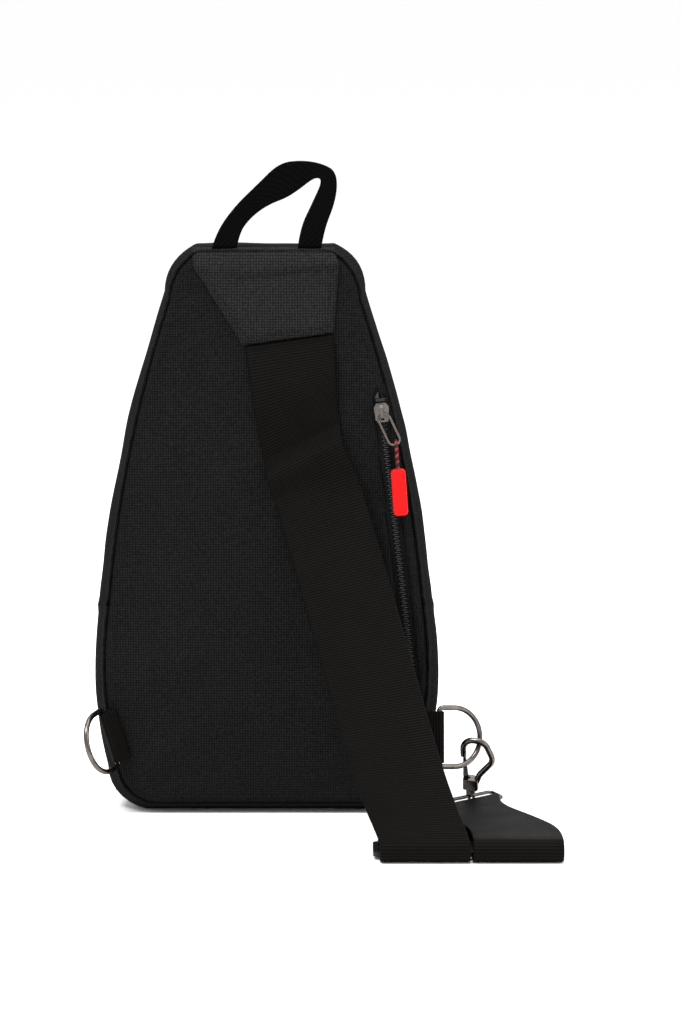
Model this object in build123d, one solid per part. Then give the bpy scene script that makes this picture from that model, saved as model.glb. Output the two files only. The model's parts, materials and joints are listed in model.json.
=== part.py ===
"""Sling bag standing on its base: a padded teardrop body of sewn panels and gussets, three zips with
corded pullers, a webbing grab handle, side D-rings, and one wide webbing strap that runs from a yoke at
the top, down to the floor and back to a swivel snap hook on the right-hand D-ring.

Millimetres. +X is the wearer's side with the back zip, -Y is the face that lies against the wearer,
+Z is up. The origin is the middle of the flat base. Each named sub-part is one STEP file in parts/."""

from build123d import *

import os
from math import asin, atan2, cos, degrees, hypot, radians, sin

# ---------------------------------------------------------------- driving dimensions
HEIGHT = 330.0
HALF_WIDTH = 100.0
BACK_Y = -40.0  # the seam between the back panel and the gusset
CREST_Y = -26.0  # where the gusset is widest
ZIP_Y = 22.0  # the main zip's plane at the base
FRONT_Y = 45.0  # the front panel's seam at the base
ZIP_TILT = 3.0  # how far the main zip's plane leans in, degrees
FRONT_TILT = 5.2  # how far the front panel leans in, degrees
BACK_INSET = 7.0
ZIP_INSET = 9.0
FRONT_INSET = 19.0
WALL = 2.2  # gusset thickness
SKIN = 1.2  # one layer of body fabric with its backing
FOAM = 4.6
LINING = 0.6
LINING_IN = 3.6  # how far the lining lies inside the outer surface, clear of the zip tapes
GAP = 0.3  # between soft pieces that only touch
OVERRUN = 3.0  # how far a cutter runs past what it cuts
BASE_DIP = 0.4  # how far the lofted base runs below the floor, before it is cut flat
GUSSET_SPLIT_Z = 121.0  # the level seam where the zip gusset meets the lower gusset

TAPE = 0.8  # zip tape thickness
COIL_HALF = 2.0
COIL_TOP = 2.4  # above the plane that the tape is sewn to
SLOT_HALF = 4.6

WEB = 1.6  # strap webbing thickness
STRAP_WIDTH = 50.0

D_WIRE = 1.55
HOOK_WIRE = 1.8
RING_WIRE = 1.1

# The half outline of the bag at its widest, from the middle of the base to the middle of the top:
# each stretch is an arc through a middle point to an end point.
BASE_HALF = 70.0
ARCS = [
    ((84.5, 7.0), (92.5, 26.0)),
    ((99.8, 74.0), (97.0, 121.0)),
    ((83.3, 212.0), (58.0, 303.0)),
    ((52.0, 320.5), (41.0, 330.0)),
]

NODES = {}


def keep(name, shape):
    """Remembers a sub-part under its node name."""
    NODES[name] = shape
    return shape


# ---------------------------------------------------------------- the body's outline
def scaled(point, inset, low, high):
    """A point of the widest outline, pulled in sideways and fitted between two heights."""
    x, z = point
    return (x * (HALF_WIDTH - inset) / HALF_WIDTH, low + (high - low) * z / HEIGHT)


def outline(inset, low, high):
    """The closed outline as a face in a plane's own coordinates."""
    right = [(scaled(m, inset, low, high), scaled(e, inset, low, high)) for m, e in ARCS]
    start = scaled((BASE_HALF, 0), inset, low, high)
    edges = [Line((-start[0], start[1]), start)]
    here = start
    for middle, end in right:
        edges.append(ThreePointArc(here, middle, end))
        here = end
    edges.append(Line(here, (-here[0], here[1])))
    ends = [start] + [end for _, end in right]
    for i in range(len(right) - 1, -1, -1):
        middle = right[i][0]
        edges.append(
            ThreePointArc(
                (-ends[i + 1][0], ends[i + 1][1]), (-middle[0], middle[1]), (-ends[i][0], ends[i][1])
            )
        )
    return make_face(Wire(edges))


def upright(y, tilt=0.0):
    """A plane that stands across the bag at depth y, its own x along +X and its own y up, facing -Y."""
    a = radians(tilt)
    return Plane(origin=(0, y, 0), x_dir=(1, 0, 0), z_dir=(0, -cos(a), -sin(a)))


BACK = upright(BACK_Y)
CREST = upright(CREST_Y)
ZIP = upright(ZIP_Y, ZIP_TILT)
FRONT = upright(FRONT_Y, FRONT_TILT)
BACK_LOW, BACK_HIGH = 6.0, 326.0
FRONT_LOW, FRONT_HIGH = 8.0, 318.0
ZIP_HIGH = 327.0


def tube(inset):
    """The space inside the gusset's surface, pulled in by inset. A pulled-in one runs on past both seams."""
    back = outline(BACK_INSET + inset, BACK_LOW + inset, BACK_HIGH - inset)
    front = outline(FRONT_INSET + inset, FRONT_LOW + inset, FRONT_HIGH - inset)
    sections = [
        BACK * back,
        CREST * outline(inset, inset - BASE_DIP, HEIGHT - inset),
        ZIP * outline(ZIP_INSET + inset, inset - BASE_DIP, ZIP_HIGH - inset),
        FRONT * front,
    ]
    if inset > 0:
        sections = [BACK.offset(OVERRUN) * back, *sections, FRONT.offset(-OVERRUN) * front]
    return loft(sections, ruled=True)


def slab(plane, face, low, high):
    """A face of the plane, as a plate from low to high along the plane's normal."""
    return extrude(plane.offset(low) * face, high - low, dir=plane.z_dir)


# ---------------------------------------------------------------- small helpers
def wire_loop(points, radii, wire, plane):
    """A closed wire form: a round section swept along a polygon with rounded corners."""
    path = plane * FilletPolyline(*points, radius=radii, close=True)
    start = path @ 0.02
    along = path % 0.02
    section = Plane(origin=start, z_dir=along) * Circle(wire)
    return sweep(section, path=Wire(path) if not isinstance(path, Wire) else path)


def rod(points, radii, wire, plane):
    """An open wire form along a polyline with rounded corners."""
    path = plane * FilletPolyline(*points, radius=radii)
    section = Plane(origin=path @ 0, z_dir=path % 0) * Circle(wire)
    return sweep(section, path=path)


def ribbon(stations, low, high):
    """Webbing as a solid: each station is its left and right edge points and the way its face looks.
    The solid lies from low to high along that way."""
    faces = []
    for left, right, way in stations:
        l, r, n = Vector(*left), Vector(*right), Vector(*way).normalized()
        corners = [l + n * low, r + n * low, r + n * high, l + n * high]
        faces.append(make_face(Wire.make_polygon(corners, close=True)))
    return loft(faces, ruled=True)


# ---------------------------------------------------------------- body panels
def zip_outline(inset):
    """The widest outline where the main zip runs, pulled in by inset."""
    return outline(ZIP_INSET + inset, inset, ZIP_HIGH - inset)


def half_space(low, high):
    """A slab of space between two heights, wider than the bag."""
    return Pos(0, 0, (low + high) / 2) * Box(4 * HALF_WIDTH, 4 * HALF_WIDTH, high - low)


def gussets():
    """The band between the back and front panels: a lower part, and an upper part split by the main zip."""
    ring = tube(0) - tube(WALL)
    keep("lower_gusset", ring & half_space(0, GUSSET_SPLIT_Z - GAP / 2))
    upper = ring & half_space(GUSSET_SPLIT_Z + GAP / 2, HEIGHT + 10)
    upper -= slab(ZIP, Rectangle(4 * HALF_WIDTH, 4 * HEIGHT), -SLOT_HALF, SLOT_HALF)
    strips = sorted(upper.solids(), key=lambda s: s.center().Y)
    keep("zip_gusset_back", strips[0])
    keep("zip_gusset_front", strips[-1])


def slot(plane, line, half, depth):
    """A cutter along a straight zip: a long box with rounded ends."""
    (x0, z0), (x1, z1) = line
    middle = ((x0 + x1) / 2, (z0 + z1) / 2)
    turn = degrees(atan2(z1 - z0, x1 - x0))
    shape = SlotOverall(hypot(x1 - x0, z1 - z0) + 2 * half, 2 * half)
    return slab(plane, Pos(*middle) * Rot(0, 0, turn) * shape, -depth, depth)


def panels():
    """Fabric skins with their foam, and the front pocket's and back pocket's inner bags."""
    back_skin = slab(BACK, outline(BACK_INSET, BACK_LOW, BACK_HIGH), 0, SKIN)
    keep("back_panel", back_skin - slot(BACK, BACK_ZIP, SLOT_HALF, 5))
    inner = LINING_IN + LINING + GAP
    foam = slab(BACK, outline(BACK_INSET + inner, BACK_LOW + inner, BACK_HIGH - inner), -FOAM, -GAP)
    keep("back_foam", foam)
    front_skin = slab(FRONT, outline(FRONT_INSET, FRONT_LOW, FRONT_HIGH), -SKIN, 0)
    keep("front_panel", front_skin - slot(FRONT, FRONT_ZIP, SLOT_HALF, 5))
    pad = slab(FRONT, outline(FRONT_INSET + inner, FRONT_LOW + inner, FRONT_HIGH - inner), GAP, 3.0)
    keep("front_foam", pad)


def linings():
    """The thin lining inside the gusset, the pocket bags behind the two outer zips, and the base board."""
    keep("lining", (tube(LINING_IN) - tube(LINING_IN + LINING)) & tube(0))
    pouch = slab(BACK, outline(30, 30, 262), -FOAM - GAP - LINING, -FOAM - GAP)
    keep("back_pocket_bag", pouch)
    front_pouch = slab(FRONT, outline(34, 40, 280), 3.0 + GAP, 3.0 + GAP + LINING)
    keep("front_pocket_bag", front_pouch)
    board = Box(BOARD_LENGTH, BOARD_DEPTH, BOARD_THICK)
    board_z = LINING_IN + LINING + GAP + BOARD_THICK / 2
    keep("base_board", Pos(0, -2, board_z) * fillet(board.edges() | Axis.Z, 8))


# ---------------------------------------------------------------- zips
def straight_zip(name, plane, line, out):
    """Tapes and coil of a straight zip lying on the plane; out is +1 where the plane's normal faces out."""
    (x0, z0), (x1, z1) = line
    middle = ((x0 + x1) / 2, (z0 + z1) / 2)
    turn = degrees(atan2(z1 - z0, x1 - x0))
    long = hypot(x1 - x0, z1 - z0)
    place = Pos(*middle) * Rot(0, 0, turn)

    def strip(low_side, high_side, length, bottom, top):
        centre = (low_side + high_side) / 2
        face = place * Pos(0, centre) * Rectangle(length, high_side - low_side)
        low, high = (bottom, top) if out > 0 else (-top, -bottom)
        return slab(plane, face, low, high)

    edge = SLOT_HALF - 0.1
    tapes = strip(-edge, -0.1, long, 0, TAPE) + strip(0.1, edge, long, 0, TAPE)
    keep(name + "_zip_tapes", tapes)
    keep(name + "_zip_coil", strip(-COIL_HALF, COIL_HALF, long - 4, TAPE, COIL_TOP))
    stops = [
        slab(
            plane,
            place * Pos(side * (long / 2 - 0.9)) * Rectangle(1.6, 5.2),
            *((TAPE, COIL_TOP + 0.4) if out > 0 else (-COIL_TOP - 0.4, -TAPE)),
        )
        for side in (-1, 1)
    ]
    keep(name + "_zip_stops", Compound(children=stops))


def main_zip():
    """Tapes and coil that follow the gusset over the top, from one level seam to the other."""
    sink = 1.6  # the tape's base lies this far inside the gusset's surface
    band = zip_outline(sink - TAPE) - zip_outline(sink)
    clear = half_space(GUSSET_SPLIT_Z + 0.6, HEIGHT + 10)
    edge = SLOT_HALF - 0.1
    tapes = slab(ZIP, band, -edge, -0.1) + slab(ZIP, band, 0.1, edge)
    keep("main_zip_tapes", tapes & clear)
    rib = zip_outline(sink - COIL_TOP) - zip_outline(sink - TAPE)
    chain_space = half_space(GUSSET_SPLIT_Z + 3, HEIGHT + 10)
    keep("main_zip_coil", slab(ZIP, rib, -COIL_HALF, COIL_HALF) & chain_space)


def slider():
    """A zip slider's body: top wing, the side flanges that hold the coil, and the bridge for the puller.
    Its own Y runs along the zip, Z points out, and Z = 0 is the plane that the tape is sewn to."""
    wing = [(-3.1, -5.6), (3.1, -5.6), (4.2, 1.0), (4.2, 3.2), (2.6, 5.4), (-2.6, 5.4), (-4.2, 3.2), (-4.2, 1.0)]
    top = Pos(0, 0, 2.7) * extrude(make_face(Polyline(*wing, close=True)), 1.0)
    flanges = [Pos(side * 3.35, -1.2, 1.9) * Box(1.3, 6.6, 1.7) for side in (-1, 1)]
    profile = [(-4.4, 3.6), (-4.4, 5.2), (-3.0, 6.8), (3.0, 6.8), (4.6, 5.0), (4.6, 3.6)]
    arch = extrude(Plane.YZ * make_face(Polyline(*profile, close=True)), 1.0, both=True)
    arch -= Pos(0, 0, 4.8) * Box(3, 6.6, 2.2)
    body = top + flanges[0] + flanges[1] + arch
    return body


PIVOT = (0.0, -1.2, 4.8)  # where the puller's wire lies in the bridge
LOOP_HALF, LOOP_LONG, LOOP_WIRE = 3.35, 18.7, 0.65
CORD_R = 0.95
PULL_WIDTH, PULL_LONG, PULL_THICK = 8.5, 27.0, 5.0
CORD_LONG = 14.0
CORD_PLAY = 0.1  # between the cord and the rubber end moulded round its knot


def puller():
    """The long oval wire loop, hanging down its own -Y from the origin at the pivot."""
    points = [(-LOOP_HALF, 0), (LOOP_HALF, 0), (LOOP_HALF, -LOOP_LONG), (-LOOP_HALF, -LOOP_LONG)]
    return wire_loop(points, [LOOP_HALF - 0.01] * 4, LOOP_WIRE, Plane.XY)


def pull_cord():
    """The doubled cord that hangs from the loop's lower end, with the wire's centre at the origin."""
    away = LOOP_WIRE + 0.35 + CORD_R
    points = [(1.25, -CORD_LONG), (away, -2.6), (away, away), (-away, away), (-away, -2.6), (-1.25, -CORD_LONG)]
    lying = Plane(origin=(0, 0, 0), x_dir=(0, 0, 1), z_dir=(-1, 0, 0))
    return rod(points, [3.0, away - 0.02, away - 0.02, 3.0], CORD_R, lying)


def pull_end():
    """The moulded rubber end."""
    block = Box(PULL_WIDTH, PULL_LONG, PULL_THICK)
    block = fillet(block.edges() | Axis.Z, 2.6)
    block = fillet(block.edges().group_by(Axis.Z)[-1] + block.edges().group_by(Axis.Z)[0], 1.1)
    return Pos(0, -CORD_LONG - CORD_PLAY - PULL_LONG / 2, 0) * block


def zip_pull(name, at, swing, lean=6.0, turn=0.0):
    """Slider, puller, cord and rubber end on a slider frame. swing turns the puller within the zip's face
    and lean tips it out; turn does the same for the cord and its end, from the puller's own direction."""
    keep(name + "_zip_slider", at * slider())
    hang = at * Pos(*PIVOT) * Rot(0, 0, swing) * Rot(-lean, 0, 0)
    keep(name + "_zip_puller", hang * puller())
    drop = hang * Pos(0, -LOOP_LONG, 0) * Rot(lean, 0, 0) * Rot(0, 0, turn)
    keep(name + "_zip_cord", drop * pull_cord())
    keep(name + "_zip_pull_end", drop * pull_end())
    return hang, drop


# ---------------------------------------------------------------- soft trim
def plate(points, low, high):
    """A flat piece on the back panel: points are x and z, and low to high is outwards from the seam."""
    return slab(BACK, make_face(Polyline(*points, close=True)), low, high)


def yoke():
    """The padded trapezoid that is sewn over the top seam and holds the strap's upper end."""
    keep("yoke", plate(YOKE_CORNERS, SKIN + GAP, SKIN + GAP + YOKE_THICK))


def grab_handle():
    """The webbing loop that stands on the top seam, as one flat band bent round three corners."""
    stations = [
        ((left[0], HANDLE_Y, left[1]), (right[0], HANDLE_Y, right[1]), (0, -1, 0)) for left, right in HANDLE
    ]
    keep("grab_handle", ribbon(stations, -HANDLE_THICK / 2, HANDLE_THICK / 2))


def d_tab(name, plane, reach):
    """Webbing folded round a D-ring's bar. The bar runs along the plane's own Y through its origin,
    and the two layers run back along -X, for reach."""
    inner = D_WIRE + 0.25
    outer = inner + TAB_THICK
    around = Circle(outer) + Pos(-reach / 2, 0) * Rectangle(reach, 2 * outer)
    hole = Circle(inner) + Pos(-(reach + OVERRUN) / 2, 0) * Rectangle(reach + OVERRUN, 2 * TAB_SPLIT)
    across = Plane(origin=plane.origin, x_dir=plane.x_dir, z_dir=plane.y_dir)
    return keep(name, extrude(across * (around - hole), D_BAR / 2 - 2.0, both=True))


def d_ring(name, plane):
    """A D-ring lying in the plane, with its straight bar along the plane's own Y."""
    half = D_BAR / 2
    points = [(0, -half), (0, half), (D_REACH, half), (D_REACH, -half)]
    return keep(name, wire_loop(points, [2.6, 2.6, half - 0.05, half - 0.05], D_WIRE, plane))


# ---------------------------------------------------------------- snap hook
def snap_hook(plane):
    """The swivel snap hook, in a plane whose own Y runs up the hook and X to its blind side.
    The bow is a pear-shaped wire with its mouth on the left, where the sprung gate closes it."""
    bow = rod(BOW, BOW_RADII, HOOK_WIRE, plane)
    block = plane * Pos(0, -1.0, 0) * fillet(Box(BLOCK_WIDE, 7.0, BLOCK_DEEP).edges() | Axis.Y, 1.6)
    gate_slot = plane * Pos(GATE_FOOT[0] - 0.4, 1.65, 0) * Box(5.4, 5.1, GATE_THICK + 0.5)
    bore = plane * Pos(0, -3.8, 0) * Rot(90, 0, 0) * Cylinder(STEM_R + RUNNING, 2.0)
    pocket = plane * Pos(0, -2.1, 0) * Rot(90, 0, 0) * Cylinder(HEAD_R + RUNNING, 1.8)
    pin_hole = plane * Pos(*GATE_FOOT) * Cylinder(PIN_R, 3 * BLOCK_DEEP)
    keep("hook_body", block + bow - bore - pocket - pin_hole - gate_slot)
    keep("gate_pin", plane * Pos(*GATE_FOOT) * Cylinder(PIN_R, BLOCK_DEEP - 0.4))

    leaf = [(-1.5, -0.9), (1.3, -0.9), (1.3, 1.4), (-0.6, GATE_LONG), (-2.2, GATE_LONG), (-1.9, 3.0)]
    gate = plane * Pos(*GATE_FOOT) * extrude(make_face(Polyline(*leaf, close=True)), GATE_THICK / 2, both=True)
    gate -= plane * Pos(*GATE_FOOT) * Cylinder(PIN_R + RUNNING, 3 * BLOCK_DEEP)
    keep("hook_gate", gate)


def swivel(plane):
    """The swivel: a headed stem that turns in the hook's block, and the eye below it."""
    head = Pos(0, -2.1, 0) * Rot(90, 0, 0) * Cylinder(HEAD_R, 1.2)
    stem = Pos(0, -3.9, 0) * Rot(90, 0, 0) * Cylinder(STEM_R, 3.4)
    collar = Pos(0, -6.1, 0) * Rot(90, 0, 0) * Cylinder(2.9, 2.4)
    eye = Pos(0, EYE_AT, 0) * Rot(0, 90, 0) * Torus(EYE_RING, EYE_WIRE)
    keep("swivel_eye", plane * (head + stem + collar + eye))


def strap_ring(plane):
    """The rectangular ring that the strap's end is sewn round, with its upper bar through the eye.
    The plane's origin is the middle of the upper bar, its X runs along the bar and -Y to the strap."""
    half = RING_LONG / 2
    points = [(-half, 0), (half, 0), (half, -RING_DEEP), (-half, -RING_DEEP)]
    keep("strap_ring", wire_loop(points, [2.4] * 4, RING_WIRE, plane))


# ---------------------------------------------------------------- strap
def turn_round(centre, across, start, stop, radius, steps):
    """Stations of webbing that bends round a level line through centre. The angle is 0 on the side that
    faces -Y and 90 on top, and the face that looks out is the one that looks away from the line."""
    c, half = Vector(*centre), Vector(*across).normalized() * (STRAP_WIDTH / 2)
    away = Vector(0, 0, 1).cross(half).normalized()
    if away.Y > 0:
        away = -away
    stations = []
    for i in range(steps + 1):
        a = radians(start + (stop - start) * i / steps)
        way = away * cos(a) + Vector(0, 0, sin(a))
        middle = c + way * radius
        stations.append((middle - half, middle + half, way))
    return stations


def lying(points, way):
    """Stations of webbing whose width runs level across each point, given as centre and width direction."""
    stations = []
    for centre, across in points:
        half = Vector(*across).normalized() * (STRAP_WIDTH / 2)
        stations.append((Vector(*centre) - half, Vector(*centre) + half, way))
    return stations


def folded(left, right, out, level, facing):
    """A diagonal fold from one level layer up on to the next, between the points left and right.
    facing is 1 where the outer face is on the outside of the fold, and -1 where it is inside."""
    outward = Vector(*out, 0).normalized()
    stations = []
    for angle in (-90, -45, 0, 45, 90):
        a = radians(angle)
        way = outward * cos(a) + Vector(0, 0, sin(a))
        shift = way * FOLD_R + Vector(0, 0, level + FOLD_R)
        stations.append((Vector(*left, 0) + shift, Vector(*right, 0) + shift, way * facing))
    return stations


def strap_stations():
    """The whole run of the strap, from below the yoke to the ring, with its outer face looking out."""
    on_panel = [
        ((-11.2, PANEL_Y, 272.4), (38.8, PANEL_Y, 279.4), (0, -1, 0)),
        ((-0.3, PANEL_Y, 204.0), (43.0, PANEL_Y, 226.0), (0, -1, 0)),
    ]
    hanging = []
    for centre, across, way in STRAND_1:
        hanging += lying([(centre, across)], way)
    front_1 = turn_round(BEND_1, (1, 0, 0), 45, -90, BEND_1[2] - FLOOR_Z, 6)
    through = lying([((BEND_1[0], y, z), (1, 0, 0)) for y, z in THREADING], (0, 0, -1))
    low, high = FOLD_Y, FOLD_Y + STRAP_WIDTH
    left, right = BEND_1[0] - STRAP_WIDTH / 2, BEND_1[0] + STRAP_WIDTH / 2
    near, far = BEND_2[0] - STRAP_WIDTH / 2, BEND_2[0] + STRAP_WIDTH / 2
    fold_1 = folded((left, low), (right, high), (-1, 1), FLOOR_Z, 1)
    run = lying([((right + 0.5, (low + high) / 2, LAYER_Z), (0, 1, 0))], (0, 0, 1))
    fold_2 = folded((far, low), (near, high), (1, 1), LAYER_Z, -1)
    back = lying([((BEND_2[0], y, z), (-1, 0, 0)) for y, z in RETURN], (0, 0, -1))
    front_2 = turn_round(BEND_2, (-1, 0, 0), -90, 90, BEND_2[2] - FLOOR_Z, 8)
    rising = []
    for centre, across in STRAND_2:
        rising += lying([(centre, across)], (0, 0, 1))
    loop = turn_round(RING_BAR, RING_ACROSS, 90, 270, LOOP_R, 6)
    return on_panel + hanging + front_1 + through + fold_1 + run + fold_2 + back + front_2 + rising + loop


def strap():
    """The one long strap."""
    half = WEB / 2
    stations = strap_stations()
    keep("strap", ribbon(stations, -half, half))
    return stations


def adjuster():
    """The three-bar slide that the strap is threaded through."""
    frame = RectangleRounded(ADJ_LONG, ADJ_WIDE, 3.0)
    window = Rectangle(STRAP_WIDTH + 1.6, (ADJ_WIDE - 3 * ADJ_BAR) / 2)
    step = (ADJ_WIDE - ADJ_BAR) / 4
    face = frame - Pos(0, step) * window - Pos(0, -step) * window
    keep("strap_adjuster", Pos(*ADJ_AT) * extrude(face, ADJ_THICK))


# ---------------------------------------------------------------- where things are
BOARD_LENGTH, BOARD_DEPTH, BOARD_THICK = 116.0, 42.0, 1.6
BACK_ZIP = ((65.6, 243.0), (85.0, 78.0))
FRONT_ZIP = ((38.0, 262.0), (-44.0, 118.0))

YOKE_CORNERS = [(-44.5, 326.0), (-12.5, 274.0), (38.5, 281.0), (42.0, 326.0)]
YOKE_THICK = 3.0

HANDLE_Y, HANDLE_THICK = -37.0, 1.6
HANDLE = [
    ((-30.5, 328.0), (-16.0, 328.0)),
    ((-27.0, 338.0), (-14.0, 338.0)),
    ((-5.0, 363.0), (2.0, 351.5)),
    ((12.0, 377.5), (14.5, 357.5)),
    ((27.0, 377.5), (24.0, 364.0)),
    ((40.5, 371.5), (30.5, 367.0)),
    ((40.5, 357.0), (27.0, 357.0)),
    ((32.0, 328.0), (18.5, 328.0)),
]

TAB_THICK, TAB_SPLIT = 1.2, 0.3
D_BAR, D_REACH = 34.0, 27.0

ADJ_LONG, ADJ_WIDE, ADJ_BAR, ADJ_THICK = 57.0, 26.0, 4.0, 2.6

# The snap hook, in its own plane: the bow's wire from the blind leg over the top to the nose.
BOW = [(3.4, 0.5), (5.0, 5.5), (13.2, 16.5), (7.5, 29.0), (-5.2, 28.6), (-4.6, 17.5)]
BOW_RADII = [8.0, 6.0, 7.0, 6.0]
BLOCK_WIDE, BLOCK_DEEP = 9.0, 6.0
GATE_FOOT = (-2.6, 1.2)
GATE_THICK, GATE_LONG = 1.4, 15.9
PIN_R, STEM_R, HEAD_R = 0.6, 1.4, 2.2
RUNNING = 0.05  # radial clearance of a shaft that turns
EYE_AT, EYE_RING, EYE_WIRE = -10.3, 2.9, 0.9
RING_LONG, RING_DEEP = 53.8, 11.5
RING_SLID = 12.0  # how far the eye sits from the middle of the ring's bar


def facing(origin, x, y):
    """A plane with its own Y exactly along y and its own X as near to x as that allows."""
    up = Vector(*y).normalized()
    side = Vector(*x) - up * Vector(*x).dot(up)
    return Plane(origin=origin, x_dir=side, z_dir=side.cross(up))


def heading(degrees_from_x):
    """The level direction at an angle from +X."""
    a = radians(degrees_from_x)
    return (cos(a), sin(a), 0)


LEFT_BAR, LEFT_UP = (-89.5, -48.0, 47.0), (-0.287, 0, 0.958)
RIGHT_BAR, RIGHT_UP = (100.0, -43.4, 46.0), (0, 0.208, 0.978)
LEFT_RING = facing(LEFT_BAR, heading(244), LEFT_UP)
LEFT_TAB = facing(LEFT_BAR, heading(217), LEFT_UP)
RIGHT_RING = facing(RIGHT_BAR, heading(28), RIGHT_UP)
RIGHT_TAB = facing(RIGHT_BAR, heading(-15), RIGHT_UP)

HOOK_UP = (0, -sin(radians(22)), cos(radians(22)))
HOOK = facing((119.0, -26.0, 16.0), heading(-15), HOOK_UP)
BAR_WAY = Vector(0.8, 0.6, 0.03).normalized()
SWIVEL = facing(HOOK.origin, BAR_WAY, HOOK_UP)
EYE = SWIVEL.origin + SWIVEL.y_dir * EYE_AT
RING = facing((EYE - BAR_WAY * RING_SLID), BAR_WAY, (-0.6, 0.8, 0.12))

PANEL_Y = BACK_Y - 3.0  # the strap's middle layer where it lies on the back panel
FLOOR_Z, FOLD_R = 0.9, 0.95
LAYER_Z = FLOOR_Z + 2 * FOLD_R
FOLD_Y = -115.0
BEND_1 = (89.5, -155.2, 7.6)
BEND_2 = (141.0, -155.5, 6.75)
RING_BAR = (RING.origin - RING.y_dir * RING_DEEP)
RING_ACROSS = (BAR_WAY * -1)
LOOP_R = RING_WIRE + 0.25 + WEB / 2
STRAND_1 = [
    ((30.0, -46.0, 190.0), (0.96, 0, 0.28), (0, -0.97, 0.25)),
    ((41.8, -58.0, 150.0), (0.965, 0, 0.26), (0, -0.92, 0.38)),
    ((54.1, -78.0, 110.0), (0.975, 0, 0.22), (0, -0.86, 0.50)),
    ((66.2, -103.0, 70.0), (0.985, 0, 0.17), (0, -0.80, 0.60)),
    ((77.6, -131.0, 36.0), (0.995, 0, 0.10), (0, -0.74, 0.67)),
]
THREADING = [(-153.5, 0.9), (-147.6, 0.9), (-141.8, 5.7), (-136.2, 5.7), (-130.4, 0.9), (-117.0, 0.9)]
ADJ_AT = (BEND_1[0], -139.0, 2.0)
RETURN = [(-116.0, LAYER_Z + 2 * FOLD_R), (-125.5, FLOOR_Z)]
STRAND_2 = [
    ((140.8, -132.0, 11.4), (-1, 0, 0)),
    ((137.5, -112.0, 10.4), (-1, -0.03, 0)),
    ((126.0, -85.0, 9.2), (-1, -0.10, 0)),
    ((112.6, -60.5, 8.1), (-0.92, -0.38, 0)),
]

SLIDER_IN = 8.0  # from a zip's end to the slider's middle


def straight_slider(plane, line, out):
    """The frame of a slider near the upper end of a straight zip."""
    (x0, z0), (x1, z1) = line if line[0][1] > line[1][1] else (line[1], line[0])
    long = hypot(x1 - x0, z1 - z0)
    share = SLIDER_IN / long
    at = plane.from_local_coords((x0 + (x1 - x0) * share, z0 + (z1 - z0) * share, 0))
    up = plane.x_dir * ((x0 - x1) / long) + plane.y_dir * ((z0 - z1) / long)
    return Plane(origin=at, x_dir=up.cross(plane.z_dir * out), z_dir=plane.z_dir * out)


def main_slider():
    """The frame of the main zip's slider low on the left side, and the centre of the arc that it follows."""
    inset, sink = ZIP_INSET, 1.6
    points = [scaled(p, inset, 0, ZIP_HIGH) for p in ((97.0, 121.0), (83.3, 212.0), (58.0, 303.0))]
    arc = ThreePointArc(*[(-x, z) for x, z in points])
    centre, radius = arc.arc_center, arc.radius - sink
    angle = degrees(asin((MAIN_SLIDER_Z - centre.Y) / radius))
    a = radians(angle)
    outward = ZIP.x_dir * -cos(a) + ZIP.y_dir * sin(a)
    along = ZIP.x_dir * sin(a) + ZIP.y_dir * cos(a)
    at = ZIP.from_local_coords((centre.X - radius * cos(a), centre.Y + radius * sin(a), 0))
    return Plane(origin=at, x_dir=along.cross(outward), z_dir=outward), ZIP.from_local_coords(centre), radius


MAIN_SLIDER_Z = 141.0

# ---------------------------------------------------------------- the bag
gussets()
panels()
linings()
straight_zip("back", BACK, BACK_ZIP, 1)
straight_zip("front", FRONT, FRONT_ZIP, -1)
main_zip()
BACK_SLIDER = straight_slider(BACK, BACK_ZIP, 1)
FRONT_SLIDER = straight_slider(FRONT, FRONT_ZIP, -1)
MAIN_SLIDER, MAIN_CENTRE, MAIN_RADIUS = main_slider()
PULLS = {
    "back": zip_pull("back", BACK_SLIDER.location, 18.9, turn=-21.6),
    "front": zip_pull("front", FRONT_SLIDER.location, -29.7),
    "main": zip_pull("main", MAIN_SLIDER.location, 0),
}
yoke()
grab_handle()
d_tab("left_d_tab", LEFT_TAB, 6.0)
d_tab("right_d_tab", RIGHT_TAB, 7.2)
d_ring("left_d_ring", LEFT_RING)
d_ring("right_d_ring", RIGHT_RING)
snap_hook(HOOK)
swivel(SWIVEL)
strap_ring(RING)
strap()
adjuster()

print("strap bend radii, mm: front bends", BEND_1[2] - FLOOR_Z, BEND_2[2] - FLOOR_Z)
print("strap bend radii, mm: flat folds", FOLD_R, "round the ring", LOOP_R)

os.makedirs("parts", exist_ok=True)
for node, shape in NODES.items():
    export_step(shape, "parts/" + node + ".step")
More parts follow.
